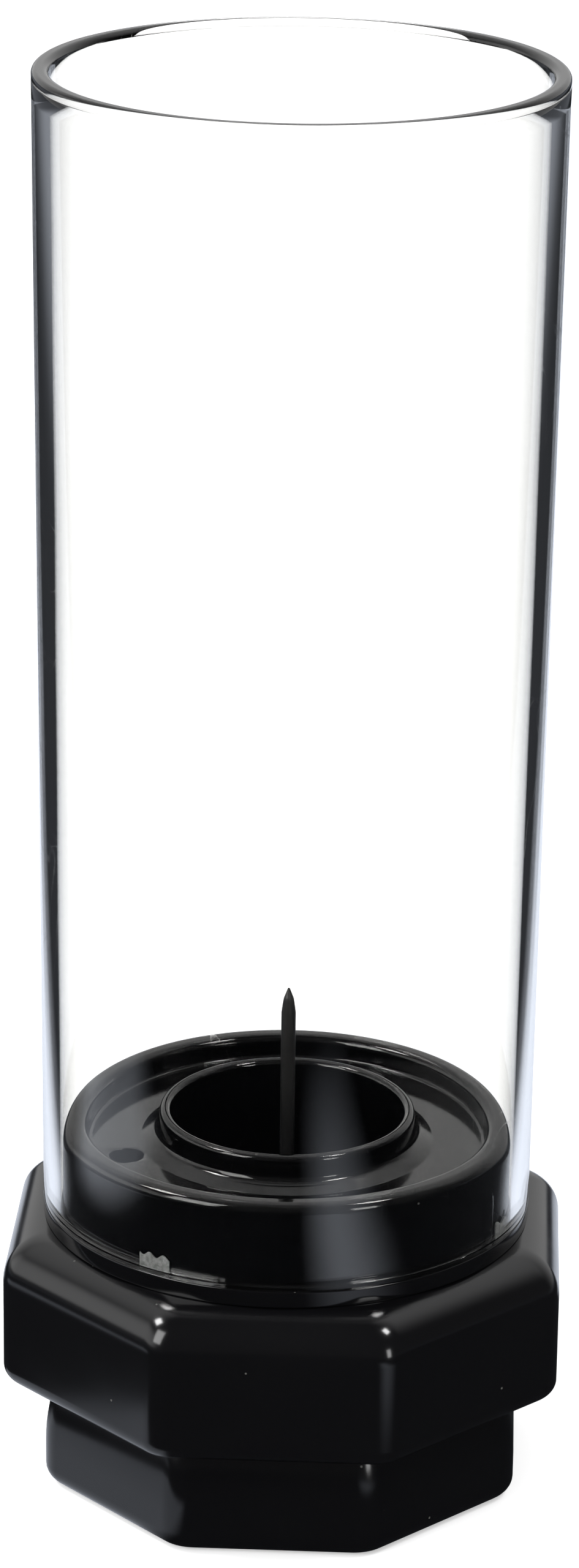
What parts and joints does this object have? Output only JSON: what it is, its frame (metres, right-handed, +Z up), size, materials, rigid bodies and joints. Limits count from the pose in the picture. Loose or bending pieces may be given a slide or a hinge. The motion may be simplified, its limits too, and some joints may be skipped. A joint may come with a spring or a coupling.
{
  "type": "fuel sampler cup",
  "caption": "Clear tapered cup tube over a round black plug with a trough, a well and a thin pointed probe, on a hollow octagonal base.",
  "frame": {"origin": "middle of the foot's flat rest face, on the cup's axis", "axes": "+Z up the cup's axis to its open mouth; the octagon's flats face +X, -X, +Y and -Y; -Y is the front"},
  "size_m": [0.0548, 0.0548, 0.142],
  "materials": {
    "clear_tube": "clear glossy moulded plastic",
    "black_plug": "glossy black moulded plastic",
    "black_base": "glossy black moulded plastic",
    "dark_rod": "blackened, dull"
  },
  "bodies": {
    "base": {"plug": "black_plug", "octagon_shell": "black_base", "foot_shell": "black_base", "probe": "dark_rod"},
    "cup": {"cup_tube": "clear_tube"}
  },
  "joints": [
    {"name": "cup_lift", "type": "slide", "parent": "base", "child": "cup", "axis": [0, 0, 1], "range_m": [0, 0.03]}
  ]
}
